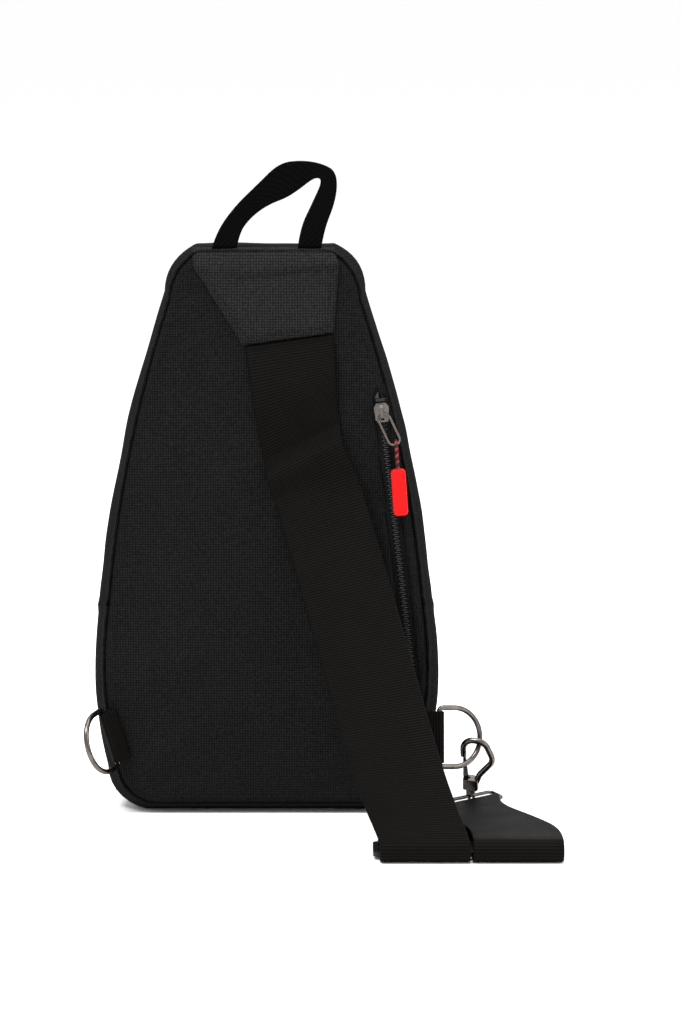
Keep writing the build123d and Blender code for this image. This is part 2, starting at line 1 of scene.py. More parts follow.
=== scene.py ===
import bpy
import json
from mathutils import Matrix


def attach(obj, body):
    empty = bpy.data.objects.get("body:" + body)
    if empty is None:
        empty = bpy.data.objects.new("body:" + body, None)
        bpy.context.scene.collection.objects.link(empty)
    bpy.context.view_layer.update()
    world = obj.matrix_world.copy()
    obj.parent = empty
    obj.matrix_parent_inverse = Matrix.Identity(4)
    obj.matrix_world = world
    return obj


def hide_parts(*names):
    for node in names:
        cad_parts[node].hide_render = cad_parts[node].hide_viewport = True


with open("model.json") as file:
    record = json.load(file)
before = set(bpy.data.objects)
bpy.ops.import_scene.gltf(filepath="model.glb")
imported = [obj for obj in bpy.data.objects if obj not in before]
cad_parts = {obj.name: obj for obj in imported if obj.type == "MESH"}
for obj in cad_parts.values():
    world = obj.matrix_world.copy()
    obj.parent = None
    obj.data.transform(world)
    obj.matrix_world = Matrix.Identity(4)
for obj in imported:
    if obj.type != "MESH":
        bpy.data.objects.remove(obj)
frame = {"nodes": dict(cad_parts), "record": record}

"""Sling bag seen from its back: sewn padded panels, a wide webbing strap that comes down to the floor,
zips with corded pullers, and dark nickel hardware. Metres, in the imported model's own frame."""

import json
from math import atan2, cos, hypot, pi, radians, sin

import bmesh
import bpy
from mathutils import Vector, noise

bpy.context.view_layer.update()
MM = 0.001

# ---------------------------------------------------------------- the body's outline, as in the CAD
HEIGHT, HALF_WIDTH = 330.0, 100.0
BASE_HALF = 70.0
ARCS = [
    ((84.5, 7.0), (92.5, 26.0), 7),
    ((99.8, 74.0), (97.0, 121.0), 20),
    ((83.3, 212.0), (58.0, 303.0), 40),
    ((52.0, 320.5), (41.0, 330.0), 9),
]
BASE_STEPS, TOP_STEPS = 14, 9
# depth, inset, lowest, highest and lean in degrees of the four seams' planes
SECTIONS = [
    (-40.0, 7.0, 6.0, 326.0, 0.0),
    (-26.0, 0.0, 0.0, 330.0, 0.0),
    (22.0, 9.0, 0.0, 327.0, 3.0),
    (45.0, 19.0, 8.0, 318.0, 5.2),
]
BACK_Y, ZIP_Y, FRONT_Y = -40.0, 22.0, 45.0
SLOT_HALF = 4.6
WEB = 1.6


def arc_points(a, b, c, steps):
    """Points on the arc from a through b to c, without a itself."""
    (ax, ay), (bx, by), (cx, cy) = a, b, c
    d = 2 * (ax * (by - cy) + bx * (cy - ay) + cx * (ay - by))
    aa, bb, cc = ax * ax + ay * ay, bx * bx + by * by, cx * cx + cy * cy
    ux = (aa * (by - cy) + bb * (cy - ay) + cc * (ay - by)) / d
    uy = (aa * (cx - bx) + bb * (ax - cx) + cc * (bx - ax)) / d
    r = hypot(ax - ux, ay - uy)
    start, end = atan2(ay - uy, ax - ux), atan2(cy - uy, cx - ux)
    sweep = (end - start + pi) % (2 * pi) - pi
    turns = [start + sweep * i / steps for i in range(1, steps + 1)]
    return [(ux + r * cos(t), uy + r * sin(t)) for t in turns]


def half_outline():
    """The widest outline's right half, from the base's middle to the top's middle."""
    points = [(BASE_HALF * i / BASE_STEPS, 0.0) for i in range(BASE_STEPS + 1)]
    here = points[-1]
    for middle, end, steps in ARCS:
        points += arc_points(here, middle, end, steps)
        here = end
    points += [(here[0] * (1 - i / TOP_STEPS), HEIGHT) for i in range(1, TOP_STEPS + 1)]
    return points


RIGHT = half_outline()
LOOP = RIGHT + [(-x, z) for x, z in RIGHT[-2:0:-1]]  # once round, anticlockwise seen from the back
COUNT = len(LOOP)
SPLIT = BASE_STEPS + ARCS[0][2] + ARCS[1][2]  # where the level gusset seam crosses the outline


def at_depth(v):
    """Inset, lowest, highest and lean at a depth, on a smooth curve through the four sections."""
    rows = SECTIONS
    v = min(max(v, rows[0][0]), rows[-1][0])
    i = max(k for k in range(len(rows) - 1) if rows[k][0] <= v)
    a, b = rows[i], rows[i + 1]
    t = (v - a[0]) / (b[0] - a[0])
    out = []
    for k in range(1, 5):
        before = rows[i - 1] if i > 0 else a
        after = rows[i + 2] if i + 2 < len(rows) else b
        slope_a = (b[k] - before[k]) / (b[0] - before[0])
        slope_b = (after[k] - a[k]) / (after[0] - a[0])
        w = b[0] - a[0]
        h = (2 * t**3 - 3 * t**2 + 1) * a[k] + (t**3 - 2 * t**2 + t) * w * slope_a
        out.append(h + (-2 * t**3 + 3 * t**2) * b[k] + (t**3 - t**2) * w * slope_b)
    return out


def on_body(point, v, more=0.0):
    """A point of the outline placed at depth v, pulled in by more, in metres."""
    inset, low, high, lean = at_depth(v)
    x = point[0] * (HALF_WIDTH - inset - more) / HALF_WIDTH
    z = low + more + (high - low - 2 * more) * point[1] / HEIGHT
    a = radians(lean)
    return Vector((x, v - z * sin(a), z * cos(a))) * MM


# ---------------------------------------------------------------- mesh helpers
def new_object(name, verts, faces, smooth=True):
    mesh = bpy.data.meshes.new(name)
    mesh.from_pydata([tuple(v) for v in verts], [], faces)
    mesh.update()
    for p in mesh.polygons:
        p.use_smooth = smooth
    obj = bpy.data.objects.new(name, mesh)
    bpy.context.scene.collection.objects.link(obj)
    return obj


def grid_object(name, rows, closed_across=False, closed_along=False, uv_scale=None):
    """A surface through rows of points. UVs are metres along and across where uv_scale is set."""
    n, m = len(rows), len(rows[0])
    verts = [v for row in rows for v in row]
    faces, corners = [], []
    for i in range(n if closed_along else n - 1):
        for j in range(m if closed_across else m - 1):
            i1, j1 = (i + 1) % n, (j + 1) % m
            faces.append((i * m + j, i * m + j1, i1 * m + j1, i1 * m + j))
            corners.append(((i, j), (i, j + 1), (i + 1, j + 1), (i + 1, j)))
    obj = new_object(name, verts, faces)
    if uv_scale:
        along, across = uv_scale
        layer = obj.data.uv_layers.new(name="weave")
        k = 0
        for four in corners:
            for i, j in four:
                layer.data[k].uv = (across[j], along[i])
                k += 1
    return obj


def thicken(obj, thickness, offset=-1.0):
    """Gives an open surface its real thickness."""
    mod = obj.modifiers.new("thickness", "SOLIDIFY")
    mod.thickness = thickness
    mod.offset = offset
    mod.use_even_offset = False
    return mod


def apply_modifiers(obj):
    graph = bpy.context.evaluated_depsgraph_get()
    mesh = bpy.data.meshes.new_from_object(obj.evaluated_get(graph))
    obj.modifiers.clear()
    old = obj.data
    obj.data = mesh
    bpy.data.meshes.remove(old)


def spline_line(points, resolution=6):
    """Points along the smooth NURBS curve whose control points are the given ones."""
    curve = bpy.data.curves.new("route", "CURVE")
    curve.dimensions = "3D"
    curve.resolution_u = resolution
    spline = curve.splines.new("NURBS")
    spline.points.add(len(points) - 1)
    for p, xyz in zip(spline.points, points):
        p.co = (*xyz, 1.0)
    spline.order_u = 3
    spline.use_endpoint_u = True
    carrier = bpy.data.objects.new("route", curve)
    mesh = bpy.data.meshes.new_from_object(carrier)
    line = [v.co.copy() for v in mesh.vertices]
    bpy.data.meshes.remove(mesh)
    bpy.data.objects.remove(carrier)
    bpy.data.curves.remove(curve)
    return line


def bump_noise(p, scale, depth, seed=0.0):
    return noise.noise(Vector((p[0] / scale + seed, p[1] / scale - seed, p[2] / scale))) * depth


def smooth_step(a, b, x):
    t = min(max((x - a) / (b - a), 0.0), 1.0)
    return t * t * (3 - 2 * t)


# ---------------------------------------------------------------- materials
class Shader:
    """A node material, with object coordinates in metres or the mesh's own weave coordinates."""

    def __init__(self, name, colour, roughness, metallic=0.0, sheen=0.0, specular=0.5):
        self.mat = bpy.data.materials.new(name)
        self.mat.use_nodes = True
        self.tree = self.mat.node_tree
        self.bsdf = self.tree.nodes["Principled BSDF"]
        self.bsdf.inputs["Base Color"].default_value = (*colour, 1)
        self.bsdf.inputs["Roughness"].default_value = roughness
        self.bsdf.inputs["Metallic"].default_value = metallic
        self.bsdf.inputs["Sheen Weight"].default_value = sheen
        self.bsdf.inputs["Sheen Roughness"].default_value = 0.45
        self.bsdf.inputs["Specular IOR Level"].default_value = specular
        self.coords = self.node("ShaderNodeTexCoord")
        self.height = None

    def node(self, kind, **settings):
        n = self.tree.nodes.new(kind)
        for key, value in settings.items():
            setattr(n, key, value)
        return n

    def link(self, a, b):
        self.tree.links.new(a, b)

    def mapped(self, source="Object", scale=(1, 1, 1), turn=(0, 0, 0)):
        m = self.node("ShaderNodeMapping")
        m.inputs["Scale"].default_value = scale
        m.inputs["Rotation"].default_value = [radians(a) for a in turn]
        self.link(self.coords.outputs[source], m.inputs["Vector"])
        return m.outputs["Vector"]

    def noise(self, vector, scale, detail=3.0, roughness=0.6):
        n = self.node("ShaderNodeTexNoise")
        n.inputs["Scale"].default_value = scale
        n.inputs["Detail"].default_value = detail
        n.inputs["Roughness"].default_value = roughness
        self.link(vector, n.inputs["Vector"])
        return n.outputs["Fac"]

    def wave(self, vector, scale, direction="X", distortion=0.0, detail=0.0, detail_scale=1.0):
        n = self.node("ShaderNodeTexWave", wave_type="BANDS", bands_direction=direction, wave_profile="SIN")
        n.inputs["Scale"].default_value = scale
        n.inputs["Distortion"].default_value = distortion
        n.inputs["Detail"].default_value = detail
        n.inputs["Detail Scale"].default_value = detail_scale
        self.link(vector, n.inputs["Vector"])
        return n.outputs["Fac"]

    def maths(self, operation, a, b):
        n = self.node("ShaderNodeMath", operation=operation)
        for socket, value in zip(n.inputs, (a, b)):
            if isinstance(value, (int, float)):
                socket.default_value = value
            else:
                self.link(value, socket)
        return n.outputs[0]

    def ramp(self, factor, stops):
        r = self.node("ShaderNodeValToRGB")
        elements = r.color_ramp.elements
        while len(elements) < len(stops):
            elements.new(0.5)
        for e, (place, colour) in zip(elements, stops):
            e.position = place
            e.color = (*colour, 1)
        self.link(factor, r.inputs["Fac"])
        return r.outputs["Color"]

    def colour(self, output):
        self.link(output, self.bsdf.inputs["Base Color"])

    def roughness(self, factor, low, high):
        m = self.node("ShaderNodeMapRange")
        m.inputs["To Min"].default_value = low
        m.inputs["To Max"].default_value = high
        self.link(factor, m.inputs["Value"])
        self.link(m.outputs["Result"], self.bsdf.inputs["Roughness"])

    def bump(self, height, strength, distance):
        b = self.node("ShaderNodeBump")
        b.inputs["Strength"].default_value = strength
        b.inputs["Distance"].default_value = distance
        self.link(height, b.inputs["Height"])
        if self.height is not None:
            self.link(self.height, b.inputs["Normal"])
        self.height = b.outputs["Normal"]
        self.link(self.height, self.bsdf.inputs["Normal"])


def shade(colour, factor):
    return tuple(min(c * factor, 1.0) for c in colour)


def woven(name, colour, pitch, fleck=1.9, roughness=0.85, sheen=0.004, side=False, strength=0.6):
    """Plain-woven cloth: crossed yarns broken into flecks of the given pitch, on the face that looks
    along Y, or on the sides where side is set."""
    s = Shader(name, colour, roughness, sheen=sheen, specular=0.03)
    flecks = 1.05 / pitch
    warp = s.noise(s.mapped(scale=(1, 1.6, 0.6) if side else (1.6, 1, 0.6)), flecks, 1.0, 0.6)
    weft = s.noise(s.mapped(scale=(0.6, 0.6, 1.6)), flecks, 1.0, 0.6)
    patches = s.noise(s.mapped(), 26.0, 3.0, 0.55)
    turns = pi / 20 / (0.65 * pitch)
    ends = s.wave(s.mapped(), turns, "Y" if side else "X", 0.8, 1.0, 3.0)
    picks = s.wave(s.mapped(), turns, "Z", 0.8, 1.0, 3.0)
    loose = s.maths("MULTIPLY", s.maths("ADD", warp, weft), 0.34)
    yarns = s.maths("ADD", loose, s.maths("MULTIPLY", s.maths("ADD", ends, picks), 0.16))
    mix = s.maths("ADD", yarns, s.maths("MULTIPLY", s.maths("SUBTRACT", patches, 0.5), 0.08))
    s.colour(s.ramp(mix, [(0.36, shade(colour, 0.45)), (0.5, colour), (0.66, shade(colour, fleck))]))
    s.roughness(warp, roughness - 0.08, roughness + 0.1)
    s.bump(yarns, strength, 0.0005)
    s.bump(patches, 0.22, 0.0016)
    return s.mat


def webbing(name, colour, rib, weave="ribs", gloss=0.5):
    """Webbing with weft ribs across it and fine warp lines along it, or a diagonal basket weave."""
    s = Shader(name, colour, gloss, sheen=0.0, specular=0.02)
    if weave == "ribs":
        along = s.wave(s.mapped("UV"), 1.0 / rib / 20 * pi, "Y", 0.25, 1.0, 2.0)
        warp = s.wave(s.mapped("UV"), 1.0 / 0.0009 / 20 * pi, "X", 0.4, 1.0, 2.0)
        pattern = s.maths("ADD", s.maths("MULTIPLY", along, 0.85), s.maths("MULTIPLY", warp, 0.15))
    else:
        one = s.wave(s.mapped("UV", turn=(0, 0, 38)), 1.0 / rib / 20 * pi, "X", 0.3, 1.0, 2.0)
        two = s.wave(s.mapped("UV", turn=(0, 0, -52)), 1.0 / (rib * 0.55) / 20 * pi, "X", 0.3, 1.0, 2.0)
        pattern = s.maths("ADD", s.maths("MULTIPLY", one, 0.7), s.maths("MULTIPLY", two, 0.3))
    cloudy = s.noise(s.mapped(), 60.0, 4.0, 0.6)
    lint = s.noise(s.mapped(), 1400.0, 2.0, 0.7)
    threads = s.maths("ADD", s.maths("MULTIPLY", pattern, 0.7), s.maths("MULTIPLY", lint, 0.5))
    worn = s.maths("ADD", s.maths("MULTIPLY", cloudy, 0.6), 0.6)
    mix = s.maths("MULTIPLY", threads, worn)
    s.colour(s.ramp(mix, [(0.12, shade(colour, 0.5)), (0.45, colour), (0.85, shade(colour, 1.9))]))
    s.roughness(cloudy, gloss - 0.06, gloss + 0.16)
    s.bump(pattern, 0.7, 0.0005)
    s.bump(lint, 0.25, 0.0003)
    return s.mat


def plated(name, colour, roughness=0.22):
    """Polished dark nickel, with fine drawing marks and a little tarnish."""
    s = Shader(name, colour, roughness, metallic=1.0)
    marks = s.noise(s.mapped(scale=(1, 1, 0.25)), 700.0, 3.0, 0.6)
    tarnish = s.noise(s.mapped(), 180.0, 4.0, 0.6)
    s.colour(s.ramp(tarnish, [(0.3, shade(colour, 0.7)), (0.6, colour), (0.85, shade(colour, 1.35))]))
    s.roughness(marks, roughness - 0.07, roughness + 0.14)
    s.bump(marks, 0.08, 0.0002)
    return s.mat


def moulded(name, colour, roughness, grain=900.0, depth=0.0002, specular=0.5):
    """Moulded rubber or plastic with a fine satin grain."""
    s = Shader(name, colour, roughness, specular=specular)
    fine = s.noise(s.mapped(), grain, 3.0, 0.6)
    soft = s.noise(s.mapped(), 120.0, 3.0, 0.5)
    s.colour(s.ramp(soft, [(0.3, shade(colour, 0.86)), (0.55, colour), (0.8, shade(colour, 1.12))]))
    s.roughness(fine, roughness - 0.08, roughness + 0.12)
    s.bump(fine, 0.3, depth)
    return s.mat


def braided(name, dark, fleck):
    """Braided cord, near black with a coloured tracer yarn."""
    s = Shader(name, dark, 0.7, sheen=0.05, specular=0.2)
    helix = s.wave(s.mapped(scale=(1, 1, 1), turn=(0, 35, 0)), 1.0 / 0.0016 / 20 * pi, "Z", 1.2, 1.0, 3.0)
    spots = s.noise(s.mapped(), 620.0, 1.0, 0.5)
    picked = s.ramp(s.maths("MULTIPLY", helix, spots), [(0.30, dark), (0.42, fleck)])
    s.colour(picked)
    s.bump(helix, 0.6, 0.0004)
    return s.mat


BODY = (0.0058, 0.0056, 0.0059)
MATS = {
    "body_fabric": woven("body_fabric", BODY, 0.00115),
    # The side gussets' cloth is the body cloth painted 8% darker, as painted shade on the sides that face
    # away from the light.
    "side_fabric": woven("side_fabric", shade(BODY, 0.92), 0.00115, side=True),
    "yoke_fabric": woven("yoke_fabric", (0.0102, 0.0100, 0.0103), 0.00120, fleck=2.0),
    "handle_webbing": webbing("handle_webbing", (0.0009, 0.0009, 0.0009), 0.0012, "basket", 0.55),
    "strap_webbing": webbing("strap_webbing", (0.0031, 0.0027, 0.0024), 0.0008, "ribs", 0.46),
    "foam": moulded("foam", (0.05, 0.05, 0.05), 0.9, 400.0, 0.0004),
    "lining_fabric": woven("lining_fabric", (0.03, 0.03, 0.032), 0.0008),
    "board_plastic": moulded("board_plastic", (0.02, 0.02, 0.02), 0.55),
    "adjuster_plastic": moulded("adjuster_plastic", (0.008, 0.008, 0.008), 0.4, specular=0.2),
    "zip_tape": woven("zip_tape", (0.0065, 0.0065, 0.0068), 0.0007, fleck=1.5),
    "zip_coil": moulded("zip_coil", (0.010, 0.010, 0.010), 0.35, 1500.0, 0.0001, 0.25),
    "pull_cord": braided("pull_cord", (0.010, 0.006, 0.006), (0.32, 0.012, 0.012)),
    "red_rubber": moulded("red_rubber", (0.55, 0.0015, 0.0015), 0.42, 1100.0, 0.00012, 0.14),
    "gunmetal": plated("gunmetal", (0.130, 0.116, 0.106)),
    "thread": moulded("thread", (0.0085, 0.0085, 0.0088), 0.7, 2500.0, 0.0001, 0.03),
}


def finish_piece(obj, body, material, nodes=()):
    """Material, slot, body and the CAD nodes that the piece stands for."""
    obj.data.materials.clear()
    obj.data.materials.append(MATS[material])
    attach(obj, body)
    if nodes:
        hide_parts(*nodes)
    return obj


SLOT_OF = {s["node"]: s["material_slot"] for s in frame["record"]["subparts"]}

for node, obj in frame["nodes"].items():
    obj.data.materials.clear()
    obj.data.materials.append(MATS[SLOT_OF[node]])


# ---------------------------------------------------------------- gussets
def ring_of(first, last):
    """Indices once along the outline from one sample to another, through the base or over the top."""
    return [i % COUNT for i in range(first, last + 1)]


LOWER_RUN = ring_of(COUNT - SPLIT, COUNT + SPLIT)
UPPER_RUN = ring_of(SPLIT, COUNT - SPLIT)


def outward(index, v):
    """The surface's direction outwards at an outline sample and depth."""
    a, b = LOOP[(index - 1) % COUNT], LOOP[(index + 1) % COUNT]
    along = on_body(b, v) - on_body(a, v)
    deep = on_body(LOOP[index], v + 1.0) - on_body(LOOP[index], v - 1.0)
    return along.cross(deep).normalized()


def gusset(node, run, v0, v1, steps, sewn, puff):
    """A band of the body's side between two depths, with its sewn edges rolled into the seams. sewn names
    those edges: first, last or both. An edge along the zip stays level, clear of the slider."""
    rows = []
    for k, i in enumerate(run):
        row = []
        for j in range(steps + 1):
            v = v0 + (v1 - v0) * j / steps
            p = on_body(LOOP[i], v)
            n = outward(i, v)
            to_first = v - v0 if sewn != "last" else 99.0
            to_last = v1 - v if sewn != "first" else 99.0
            seam, edge = min(to_first, to_last), min(v - v0, v1 - v)
            end = min(k, len(run) - 1 - k)
            roll = -1.3 * (1 - smooth_step(0, 3.2, seam))
            roll -= 0.7 * (1 - smooth_step(0, 1.0, end))
            share = j / steps
            swell = puff * sin(pi * share) * smooth_step(0, 5, end)
            flat = smooth_step(0.0, 6.0, p.z / MM)
            fold = bump_noise(p / MM, 46.0, 1.3, 3.1) + bump_noise(p / MM, 17.0, 0.35, 8.2)
            fold *= smooth_step(0, 12, edge)
            pucker = 0.14 * sin(k * 2.1) * (1 - smooth_step(0, 9, seam))
            p += n * MM * (roll + (swell + fold + pucker) * flat)
            p.z = max(p.z, 0.0)
            row.append(p)
        rows.append(row)
    obj = grid_object(node + "_cloth", rows)
    thicken(obj, 1.2 * MM)
    apply_modifiers(obj)
    finish_piece(obj, "bag", "side_fabric", [node])


gusset("lower_gusset", LOWER_RUN, BACK_Y, FRONT_Y, 40, "both", puff=1.2)
gusset("zip_gusset_back", UPPER_RUN, BACK_Y, ZIP_Y - SLOT_HALF, 30, "first", puff=0.7)
gusset("zip_gusset_front", UPPER_RUN, ZIP_Y + SLOT_HALF, FRONT_Y, 12, "last", puff=0.4)


# ---------------------------------------------------------------- zips
def tooth_mesh(verts, faces, centre, along, across, up, half):
    """One tooth of a coil: a rounded bar across the chain, added to the lists."""
    base = len(verts)
    a, c, u = half
    ring = [(-a, -0.4), (-a * 0.5, 1.0), (a * 0.5, 1.0), (a, -0.4)]
    for side in (-1.0, -0.55, 0.55, 1.0):
        drop = 0.55 if abs(side) == 1.0 else 1.0
        for x, y in ring:
            height = u * (y if y < 0 else y * drop)
            verts.append(centre + along * x + across * c * side + up * height)
    for i in range(3):
        for j in range(4):
            k = (j + 1) % 4
            faces.append((base + i * 4 + j, base + i * 4 + k, base + i * 4 + 4 + k, base + i * 4 + 4 + j))
    faces.append(tuple(base + j for j in (3, 2, 1, 0)))
    faces.append(tuple(base + 12 + j for j in range(4)))


def chain(name, line, ups, node):
    """The coil along a line: teeth from the two tapes that interlock in the middle."""
    verts, faces = [], []
    pitch = 1.3 * MM
    total = 0.0
    marks = [0.0]
    for a, b in zip(line, line[1:]):
        total += (b - a).length
        marks.append(total)
    i = 0
    for k in range(int(total / pitch)):
        s = (k + 0.5) * pitch
        while marks[i + 1] < s:
            i += 1
        t = (s - marks[i]) / (marks[i + 1] - marks[i])
        at = line[i].lerp(line[i + 1], t)
        up = ups[i].lerp(ups[i + 1], t).normalized()
        along = (line[i + 1] - line[i]).normalized()
        across = along.cross(up).normalized()
        side = 0.35 * MM if k % 2 else -0.35 * MM
        tooth_mesh(verts, faces, at + across * side, along, across, up, (0.52 * MM, 1.6 * MM, 0.75 * MM))
    obj = new_object(name, verts, faces)
    return finish_piece(obj, "bag", "zip_coil", [node])


def straight_zip(name, y_plane, lean, out, line):
    """Tapes and coil of a straight zip, on the plane that its panel lies in."""
    a = radians(lean)

    def place(x, z, height):
        back = Vector((0, -cos(a), -sin(a)))
        return (Vector((x, y_plane - z * sin(a), z * cos(a))) + back * height * out) * MM

    (x0, z0), (x1, z1) = line
    long = hypot(x1 - x0, z1 - z0)
    dx, dz = (x1 - x0) / long, (z1 - z0) / long
    up = (place(0, 0, 1) - place(0, 0, 0)).normalized()
    centre = [place(x0 + dx * s, z0 + dz * s, 1.35) for s in (2, long / 2, long - 2)]
    chain(name + "_chain", centre, [up] * 3, name + "_zip_coil")
    for side in (-1, 1):
        rows = []
        steps = int(long / 2)
        for i in range(steps + 1):
            s = long * i / steps
            row = []
            for w, h in ((0.15, 0.35), (0.9, 0.75), (2.2, 0.55), (3.4, 0.4), (4.7, -0.5)):
                row.append(place(x0 + dx * s - dz * w * side, z0 + dz * s + dx * w * side, h))
            rows.append(row if side > 0 else row[::-1])
        tape = grid_object(name + ("_tape_left" if side > 0 else "_tape_right"), rows)
        thicken(tape, 0.7 * MM, 1.0 if out > 0 else -1.0)
        apply_modifiers(tape)
        finish_piece(tape, "bag", "zip_tape", [name + "_zip_tapes"])


BACK_ZIP = ((65.6, 243.0), (85.0, 78.0))
FRONT_ZIP = ((38.0, 262.0), (-44.0, 118.0))
straight_zip("back", BACK_Y, 0.0, 1, BACK_ZIP)
straight_zip("front", FRONT_Y, 5.2, -1, FRONT_ZIP)


def main_zip():
    """The long zip over the top: two bands of tape a little below the gusset, and the coil."""
    for side in (-1, 1):
        rows = []
        for i in UPPER_RUN:
            row = []
            for w in (0.2, 1.4, 3.0, 5.4):
                p = on_body(LOOP[i], ZIP_Y + side * w, 1.0 if w < 5 else 1.8)
                row.append(p)
            rows.append(row if side > 0 else row[::-1])
        tape = grid_object("main_tape_front" if side > 0 else "main_tape_back", rows)
        thicken(tape, 0.7 * MM, -1.0)
        apply_modifiers(tape)
        finish_piece(tape, "bag", "zip_tape", ["main_zip_tapes"])
    run = UPPER_RUN[1:-1]
    line = [on_body(LOOP[i], ZIP_Y, -0.1) for i in run]
    chain("main_chain", line, [outward(i, ZIP_Y) for i in run], "main_zip_coil")


main_zip()


# ---------------------------------------------------------------- panels
CENTRE = (0.0, 140.0)
RINGS = 30


def inflate(obj, free, pressure, cap):
    """Cloth under a little pressure, held where free is 0, and moved by no more than cap."""
    rest = [v.co.copy() for v in obj.data.vertices]
    pins = obj.vertex_groups.new(name="pins")
    for i, f in enumerate(free):
        pins.add([i], 1.0 - f, "REPLACE")
    cloth = obj.modifiers.new("cloth", "CLOTH")
    settings = cloth.settings
    settings.quality = 6
    settings.mass = 0.25
    settings.tension_stiffness = 18
    settings.compression_stiffness = 12
    settings.shear_stiffness = 6
    settings.bending_stiffness = 0.6
    settings.vertex_group_mass = "pins"
    settings.use_pressure = True
    settings.uniform_pressure_force = pressure
    settings.effector_weights.gravity = 0
    cloth.point_cache.frame_start = 1
    cloth.point_cache.frame_end = 20
    scene = bpy.context.scene
    for f in range(1, 21):
        scene.frame_set(f)
    graph = bpy.context.evaluated_depsgraph_get()
    moved = [v.co.copy() for v in obj.evaluated_get(graph).data.vertices]
    obj.modifiers.remove(cloth)
    scene.frame_set(1)
    for v, a, b, f in zip(obj.data.vertices, rest, moved, free):
        shift = (b - a) * min(f * 1.5, 1.0)
        if shift.length > cap:
            shift *= cap / shift.length
        v.co = a + shift
    obj.vertex_groups.remove(pins)
    obj.data.update()


def fold_height(x, z, folds):
    """Soft folds as ridges or valleys: each runs between two points, with a width and a height."""
    total = 0.0
    for (x0, z0), (x1, z1), width, height in folds:
        dx, dz = x1 - x0, z1 - z0
        t = min(max(((x - x0) * dx + (z - z0) * dz) / (dx * dx + dz * dz), 0.0), 1.0)
        d = hypot(x - x0 - t * dx, z - z0 - t * dz)
        total += height * (1 - 0.75 * abs(2 * t - 1) ** 2) / (1 + (d / width) ** 2) ** 1.5
    return total


# where the back panel folds: from the tucked lower corner, under the strap, and off the side seams
BACK_FOLDS = [
    ((-84, 20), (-38, 52), 5.0, 2.2),
    ((-80, 12), (-30, 26), 4.5, -1.9),
    ((-86, 66), (-40, 96), 9.0, 1.0),
    ((-20, 10), (40, 20), 6.0, 1.5),
    ((-72, 214), (-44, 150), 8.0, 1.3),
    ((-58, 272), (-34, 214), 6.0, -1.4),
    ((40, 30), (86, 60), 8.0, 0.9),
    ((-64, 128), (-30, 62), 14.0, 0.9),
]
FRONT_FOLDS = [
    ((-70, 30), (-30, 60), 7.0, 1.2),
    ((70, 40), (34, 74), 8.0, 1.1),
    ((44, 255), (-20, 176), 7.0, -0.9),
    ((-60, 190), (-36, 140), 9.0, 0.9),
]


def panel(node, v, out, dome, low_top, folds, line):
    """A sewn panel over one end of the body: rings from the seam in to the middle, opened where its zip
    runs, with its edge rolled in, domed by pressure where nothing lies on it, and softly folded."""
    inset, low, high, lean = at_depth(v)
    a = radians(lean)
    way = Vector((0, -cos(a), -sin(a))) * out
    cx, cz = CENTRE
    (zx0, zz0), (zx1, zz1) = line
    long = hypot(zx1 - zx0, zz1 - zz0)
    dx, dz = (zx1 - zx0) / long, (zz1 - zz0) / long
    rows, free, flat_points = [], [], []
    for k in range(RINGS + 1):
        t = k / RINGS
        r = 1 - (t**1.25) * 0.985
        row = []
        for i in range(COUNT):
            ox = LOOP[i][0] * (HALF_WIDTH - inset) / HALF_WIDTH
            oz = low + (high - low) * LOOP[i][1] / HEIGHT
            x, z = cx + (ox - cx) * r, cz + (oz - cz) * r
            depth = hypot(ox - x, oz - z)
            along = (x - zx0) * dx + (z - zz0) * dz
            side = (x - zx0) * -dz + (z - zz0) * dx
            gap = hypot(max(-along, along - long, 0), side)
            flat_points.append((x, z, depth, gap))
            row.append(Vector((x, v - z * sin(a), z * cos(a))) * MM + way * MM * 1.2)
            top = smooth_step(low_top, low_top - 70.0, z)
            free.append(smooth_step(2.0, 22.0, depth) * smooth_step(5.0, 22.0, gap) * top)
        rows.append(row if out > 0 else row[::-1])
    if out < 0:
        for k in range(RINGS + 1):
            flat_points[k * COUNT:(k + 1) * COUNT] = flat_points[k * COUNT:(k + 1) * COUNT][::-1]
            free[k * COUNT:(k + 1) * COUNT] = free[k * COUNT:(k + 1) * COUNT][::-1]
    obj = grid_object(node + "_cloth", rows, closed_across=True)
    cap_face(obj, COUNT, RINGS)
    inflate(obj, free + [free[-1]], 4.0, dome * MM)
    points = flat_points + [(cx, cz, 100.0, 100.0)]
    for vert, f, (x, z, depth, gap) in zip(obj.data.vertices, free + [1.0], points):
        roll = -1.9 * (1 - smooth_step(0.0, 4.0, depth))
        welt = 0.5 * smooth_step(0, 3, depth) * (1 - smooth_step(3, 8, depth))
        lip = 1.0 * smooth_step(3.6, 5.2, gap) * (1 - smooth_step(5.2, 9.0, gap))
        sunk = -1.6 * (1 - smooth_step(3.4, 5.0, gap))
        waves = bump_noise((x, z, v), 38.0, 1.3) + bump_noise((x, z, v), 15.0, 0.4, 5.0)
        shape = waves * smooth_step(2, 12, depth) * (0.25 + 0.75 * f)
        shape += fold_height(x, z, folds) * smooth_step(1, 14, depth) * (0.3 + 0.7 * f)
        pucker = 0.28 * sin(x * 0.9 + z * 0.8) * smooth_step(1, 3, depth) * (1 - smooth_step(4, 12, depth))
        vert.co += way * MM * (roll + welt + lip + sunk + shape + pucker)
    cut_slot(obj, points)
    thicken(obj, 1.1 * MM, -1.0)
    apply_modifiers(obj)
    finish_piece(obj, "bag", "body_fabric", [node])
    return obj


